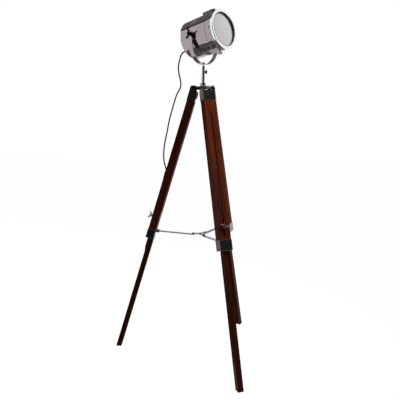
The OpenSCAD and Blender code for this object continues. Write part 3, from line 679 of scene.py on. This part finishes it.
def make_cords():
    """The lead from the drum to the plug; the stretches across a joint belong to no body.

    The hanging stretch is one curve cut at HANG_SPLIT. Each half takes one point of the other
    along for its direction and drops the steps to it again.
    """
    top, line = lead("lead_top", smooth_route(TOP_ROUTE, STEPS), AT_AXIS, None, ["cord_top"])
    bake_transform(top)
    above = smooth_route(HANG_ROUTE[:HANG_SPLIT + 2], STEPS)[:-STEPS]
    upper, line = lead("lead_upper", above, AT_AXIS, None, ["cord_hang"])
    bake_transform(upper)
    below = smooth_route(HANG_ROUTE[HANG_SPLIT - 1:], STEPS)[STEPS:]
    lower, line = lead("lead_lower", below, AT_AXIS, None, ["cord_hang"])
    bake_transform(lower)
    lead("lead_leg", smooth_route(LEG_ROUTE, LEG_STEPS), at_leg("left"), "left_leg", ["cord_leg"])
    parts = [dress("hank_tie", KNOB_BLACK, 0.5),
             dress("plug_body", KNOB_BLACK, 0.8, 3),
             dress("plug_pins", PIN_BRASS, 0.25)]
    lead("lead_hank", hank_path(14), at_leg("left") @ move(*HANK_MID), "left_leg", ["cord_hank"],
         12)


make_cords()

# ------------------------------------------------------------------ spotlight

ROW_INPUTS = [("Geometry", "NodeSocketGeometry"), ("Count", "NodeSocketInt"),
              ("Step", "NodeSocketVector"), ("Turn", "NodeSocketFloat"),
              ("Material", "NodeSocketMaterial")]


def make_row_tree():
    """Copies of the incoming mesh along a line, each turned further about x."""
    tree = bpy.data.node_groups.new("row of copies", "GeometryNodeTree")
    for name, kind in ROW_INPUTS:
        tree.interface.new_socket(name, in_out="INPUT", socket_type=kind)
    tree.interface.new_socket("Geometry", in_out="OUTPUT", socket_type="NodeSocketGeometry")
    net = Net(tree)
    given = net.node("NodeGroupInput").outputs
    line = net.node("GeometryNodeMeshLine", mode="OFFSET")
    net.feed(line.inputs["Count"], given["Count"])
    net.feed(line.inputs["Offset"], given["Step"])
    index = net.node("GeometryNodeInputIndex").outputs["Index"]
    turned_by = net.node("ShaderNodeCombineXYZ")
    net.feed(turned_by.inputs["X"], net.math("MULTIPLY", index, given["Turn"]))
    copies = net.node("GeometryNodeInstanceOnPoints")
    net.feed(copies.inputs["Points"], line.outputs["Mesh"])
    net.feed(copies.inputs["Instance"], given["Geometry"])
    net.feed(copies.inputs["Rotation"], turned_by.outputs["Vector"])
    whole = net.node("GeometryNodeRealizeInstances")
    net.feed(whole.inputs["Geometry"], copies.outputs["Instances"])
    coloured = net.node("GeometryNodeSetMaterial")
    net.feed(coloured.inputs["Geometry"], whole.outputs["Geometry"])
    net.feed(coloured.inputs["Material"], given["Material"])
    net.feed(net.node("NodeGroupOutput").inputs["Geometry"], coloured.outputs["Geometry"])
    return tree


ROW_TREE = make_row_tree()


def row_of(unit, count, material, step=(0, 0, 0), turned_by=0.0):
    """The row tree's copies of a mesh, as one plain mesh; takes unit's geometry over."""
    mesh = bpy.data.meshes.new("unit")
    unit.to_mesh(mesh)
    unit.free()
    carrier = bpy.data.objects.new("unit", mesh)
    bpy.context.scene.collection.objects.link(carrier)
    copies = carrier.modifiers.new("copies", "NODES")
    copies.node_group = ROW_TREE
    values = {"Count": count, "Step": step, "Turn": radians(turned_by), "Material": material}
    for item in ROW_TREE.interface.items_tree:
        if item.in_out == "INPUT" and item.name in values:
            copies[item.identifier] = values[item.name]
    view = bpy.context.evaluated_depsgraph_get()
    result = bpy.data.meshes.new_from_object(carrier.evaluated_get(view))
    carrier.modifiers.remove(copies)
    bm = bmesh.new()
    bm.from_mesh(result)
    bpy.data.objects.remove(carrier)
    for used in (mesh, result):
        bpy.data.meshes.remove(used)
    return bm


def bar(low, high, bevel=0.15):
    """A block between two corners with its edges broken."""
    bm = bmesh.new()
    bmesh.ops.create_cube(bm, size=1)
    size = Vector(high) - Vector(low)
    bmesh.ops.scale(bm, vec=size, verts=bm.verts)
    bmesh.ops.translate(bm, vec=Vector(low) + size / 2, verts=bm.verts)
    break_edges(bm, bm.edges[:], bevel, 2)
    return bm


def hood():
    """One pressed louvre: a long low blister across the cover."""
    bm = bmesh.new()
    bmesh.ops.create_uvsphere(bm, u_segments=24, v_segments=12, radius=1)
    bmesh.ops.scale(bm, vec=HOOD_HALF, verts=bm.verts)
    return bm


def make_head_details():
    """What the solids leave out: louvre hoods, slats and the knobs' ribs; also black strips along the cover's
    edges, painted shadow under its step.
    """
    for side, angle in [("near", LOUVRE_ANGLE), ("far", -LOUVRE_ANGLE)]:
        start = AT_HEAD @ turn(angle, "X") @ move(LOUVRE_FIRST, 0, COVER_OUT - HOOD_SUNK)
        hoods = row_of(hood(), LOUVRES, GUNMETAL, (LOUVRE_STEP, 0, 0))
        finish_piece("louvres_" + side, hoods, start, "head_body", GUNMETAL, (), 60)
    for i, (first, count) in enumerate(VENT_ROWS):
        slat = bar([-half for half in SLAT_HALF], SLAT_HALF)
        leaning = Matrix.Rotation(radians(SLAT_TURN), 3, "Z")
        bmesh.ops.rotate(slat, matrix=leaning, verts=slat.verts)
        finish_piece("vent_slats_%d" % i, row_of(slat, count, DARK_STEEL, (VENT_STEP, 0, 0)),
                     AT_HEAD @ move(first, VENT_NEAR + SLAT_HALF[0], VENT_MID_U), "head_body",
                     DARK_STEEL)
    grip = row_of(bar(*LATCH_RIB), LATCH_RIBS, KNOB_BLACK, turned_by=360 / LATCH_RIBS)
    at_latch = AT_HEAD @ move(0, LATCH_T, LATCH_U) @ turn(LATCH_TURN, "X")
    finish_piece("latch_knob_grip", grip, at_latch, body_of("latch_knob"),
                 KNOB_BLACK)
    ribs = row_of(bar(*VENT_RIB), VENT_RIBS, NICKEL, turned_by=360 / VENT_RIBS)
    finish_piece("vent_knob_grip", ribs, AT_HEAD @ move(*VENT_KNOB) @ turn(-90, "Y"),
                 body_of("vent_knob"), NICKEL)
    wide, thick = COVER_SHADE_STRIP
    # Black strips along both edges of the cover: painted shadow where the cover steps down to the drum.
    for side, angle in [("near", COVER_HALF), ("far", -COVER_HALF)]:
        shade_strip = bar((COVER_BACK, -wide, -thick), (COVER_FRONT, wide, thick), 0.3)
        finish_piece("cover_shade_strip_" + side, shade_strip, AT_HEAD @ turn(angle, "X") @ move(0, 0, COLLAR_R),
                     "head_body", KNOB_BLACK)


def ring_piece(name, outline, material, nodes=()):
    """A part turned about the drum's axis, from an outline of (s, radius)."""
    finish_piece(name, turned(outline), AT_HEAD, "head_body", material, nodes, TURNED_SMOOTH)


def make_head():
    """Drum, collar, bezel, glass and gasket as turned parts; the rest from the solids."""
    wall = [(SEAM_AT, DRUM_R), (-DRUM_BACK, DRUM_R), (-DRUM_BACK, 0), (-DRUM_BACK + DRUM_T, 0),
            (-DRUM_BACK + DRUM_T, DRUM_R - DRUM_T), (SEAM_AT, DRUM_R - DRUM_T)]
    wall = rounded(wall, [0.5, DRUM_ROUND, 0, 0, DRUM_ROUND - DRUM_T, 0.4], 12)
    ring_piece("drum", wall, GUNMETAL, ["drum_shell"])
    back, low, step = SEAM_AT + GAP, DRUM_R - SEAM_DEEP, COLLAR_FRONT - COLLAR_STEP
    ring = [(back, low), (back + SEAM, low), (back + SEAM, COLLAR_R), (step, COLLAR_R),
            (step, low), (COLLAR_FRONT, low), (COLLAR_FRONT, low - 1), (back, low - 1)]
    ring = rounded(ring, [0, 0, 0.6, 0.6, 0, 0, 0, 0], 5)
    ring_piece("collar", ring, GUNMETAL, ["front_collar"])
    start, foot = SEAM_AT + FILL_BACK, low - FILL_DEEP
    filler = [(start, foot), (start, SEAM_FILL), (SEAM_AT + SEAM, SEAM_FILL),
              (SEAM_AT + SEAM, foot)]
    ring_piece("seam_filler", filler, KNOB_BLACK)
    back, seat = COLLAR_FRONT + GAP, GLASS_BACK - SEAT_T
    bezel = [(back, BEZEL_R), (BEZEL_FRONT, BEZEL_R), (BEZEL_FRONT, BEZEL_OPEN),
             (seat, BEZEL_OPEN), (seat, BEZEL_OPEN + SEAT_W), (back, BEZEL_OPEN + SEAT_W)]
    bezel = rounded(bezel, [0.8, BEZEL_LIP, BEZEL_LIP, 0.4, 0.4, 0], 10)
    ring_piece("bezel", bezel, BRIGHT, ["bezel_ring"])
    glass = [(GLASS_BACK, 0), (GLASS_BACK, GLASS_R), (GLASS_FRONT, GLASS_R), (GLASS_FRONT, 0)]
    glass = rounded(glass, [0, 0.5, 0.8, 0], 4)
    ring_piece("glass", glass, GLASS, ["diffuser_glass"])
    back, front, inner = GLASS_FRONT + GAP, BEZEL_FRONT - 1, GLASS_R - GASKET_T
    gasket = [(back, GLASS_R), (front, GLASS_R), (front, inner), (back, inner)]
    gasket = rounded(gasket, [0, 0.3, 0.5, 0], 4)
    ring_piece("gasket", gasket, KNOB_BLACK, ["glass_gasket"])
    dress("top_vent_cover", GUNMETAL, 0.5)
    for node in ["top_latch", "bottom_vent_box"]:
        dress(node, DARK_STEEL, 0.5)
    dress("reflector", SPUN, 0)
    dress("lamp_holder", CERAMIC, 0.5)
    dress("light_bulb", BULB, 0)
    dress("tilt_bolts", BLACK_CHROME, 0.3)
    dress("head_screws", BLACK_CHROME, 0.15)
    dress("cord_boot", KNOB_BLACK, 0.5)
    dress("latch_knob", KNOB_BLACK, 0.3)
    dress("vent_knob", NICKEL, 0.6, 3)
    for side in ["near", "far"]:
        dress("tilt_nut_" + side, BLACK_CHROME, 0.7, 3)
    make_head_details()


def make_yoke_and_hub():
    """Strap yoke, stem and hub."""
    for node in ["yoke", "hub", "stem_tube"]:
        dress(node, GUNMETAL, 0.5)
    for node in ["yoke_nut", "stem_thumb_screw"]:
        dress(node, BLACK_CHROME, 0.5)
    dress("yoke_spigot", BRIGHT, 0.3)
    dress("hub_screws", BLACK_CHROME, 0.2)
    dress("hinge_bolts", DARK_STEEL, 0.4)


def make_legs():
    """Three legs and the brace between them."""
    for name in LEGS:
        for part in ["leg_cap_", "leg_sleeve_"]:
            dress(part + name, CAP_STEEL, 0.4, fold=FOLD)
        dress("brace_arm_" + name, DARK_STEEL, 0.5)
        dress("upper_leg_" + name, WOODS[name], 1.2, 3)
        dress("lower_leg_" + name, SHADED_LOWER_WOODS[name], 1.0, 3)
        dress("clamp_bolt_" + name, NICKEL, 0.3)
        dress("wing_nut_" + name, NICKEL, 0.5, 3)
        dress("brace_pin_" + name, DARK_STEEL, 0.4)
    dress("brace_centre", DARK_STEEL, 0.4)
    dress("brace_bolts", DARK_STEEL, 0.3)


make_head()
make_yoke_and_hub()
make_legs()

# ------------------------------------------------------------------ floor, light and world
# Places, targets and sizes are in metres here.

FLOOR_HALF = 14
FLOOR_GREY = (0.35, 0.35, 0.35, 1)
FLOOR_GLOW = 0.95
WORLD_FILL = 0.12
WORLD_SEEN = 1.0
KEY_PLACE = (1.7, 0.1, 2.35)
KEY_TARGET = (0.15, 0, 1.35)
KEY_SIZE = 0.9
KEY_POWER = 6.5
KEY_SPREAD = 75
CARDS = [
    ("right card", (2.3, -2.6, 2.1), (0.1, 0, 1.6), (3.5, 4.6), 0.03),
    ("camera card", (0.0, -3.2, 1.2), (0.1, 0, 1.1), (2.6, 2.8), 0.02),
    ("near floor card", (0.1, -2.3, 0.02), (0.1, -2.3, 1), (2.6, 2.6), 0.02),
    ("upper card", (-0.9, 1.5, 3.3), (0.1, 0, 1.3), (3.2, 2.6), 0.20),
    ("low card", (-0.45, 0.7, 0.03), (-0.45, 0.7, 1), (1.2, 1.9), 0.17)]


def seen_rays(net):
    """1 for the rays that show the background: camera, glossy and transmission."""
    path = net.node("ShaderNodeLightPath").outputs
    seen = net.math("MAXIMUM", path["Is Camera Ray"], path["Is Glossy Ray"])
    return net.math("MAXIMUM", seen, path["Is Transmission Ray"])


def sheet_of(name, half):
    """A square sheet with an empty material of its own; also the material's Net and its surface."""
    bm = bmesh.new()
    bmesh.ops.create_grid(bm, x_segments=1, y_segments=1, size=half)
    mesh = bpy.data.meshes.new(name)
    bm.to_mesh(mesh)
    bm.free()
    sheet = bpy.data.objects.new(name, mesh)
    bpy.context.scene.collection.objects.link(sheet)
    made = bpy.data.materials.new(name)
    made.use_nodes = True
    made.node_tree.nodes.clear()
    mesh.materials.append(made)
    net = Net(made.node_tree)
    return sheet, net, net.node("ShaderNodeOutputMaterial").inputs["Surface"]


def make_floor():
    """White floor that runs out of the picture; it glows for the rays that show the background."""
    floor, net, surface = sheet_of("floor", FLOOR_HALF)
    matt = net.node("ShaderNodeBsdfDiffuse")
    matt.inputs["Color"].default_value = FLOOR_GREY
    glow = net.node("ShaderNodeEmission")
    net.feed(glow.inputs["Strength"], net.math("MULTIPLY", seen_rays(net), FLOOR_GLOW))
    both = net.node("ShaderNodeAddShader")
    net.feed(both.inputs[0], matt.outputs["BSDF"])
    net.feed(both.inputs[1], glow.outputs["Emission"])
    net.feed(surface, both.outputs["Shader"])


def aim(thing, place, target):
    """Puts a lamp or a card in its place and turns its -z towards the target."""
    thing.location = place
    thing.rotation_mode = "QUATERNION"
    thing.rotation_quaternion = (Vector(target) - Vector(place)).to_track_quat("-Z", "Y")


def make_key():
    """The one lamp, high on the right; it isn't seen in reflections."""
    data = bpy.data.lights.new("key light", "AREA")
    data.shape = "RECTANGLE"
    data.size = data.size_y = KEY_SIZE
    data.energy = KEY_POWER
    data.spread = radians(KEY_SPREAD)
    lamp = bpy.data.objects.new("key light", data)
    lamp.visible_glossy = False
    bpy.context.scene.collection.objects.link(lamp)
    aim(lamp, KEY_PLACE, KEY_TARGET)


def card(name, place, target, size, glow):
    """A studio card of an even grey, seen only in the metal's reflections; it casts no shadow."""
    sheet, net, surface = sheet_of(name, 0.5)
    sheet.scale = (size[0], size[1], 1)
    aim(sheet, place, target)
    for ray in ["camera", "diffuse", "transmission", "shadow"]:
        setattr(sheet, "visible_" + ray, False)
    shine = net.node("ShaderNodeEmission")
    shine.inputs["Strength"].default_value = glow
    net.feed(surface, shine.outputs["Emission"])


def make_light():
    """White backdrop, key lamp and reflection cards."""
    world = bpy.data.worlds.new("studio")
    bpy.context.scene.world = world
    world.use_nodes = True
    net = Net(world.node_tree)
    back = world.node_tree.nodes["Background"]
    back.inputs["Color"].default_value = (1, 1, 1, 1)
    net.feed(back.inputs["Strength"], net.fit(seen_rays(net), 0, 1, WORLD_FILL, WORLD_SEEN))
    make_key()
    for one in CARDS:
        card(*one)
    bpy.context.scene.view_settings.view_transform = "Standard"


make_floor()
make_light()
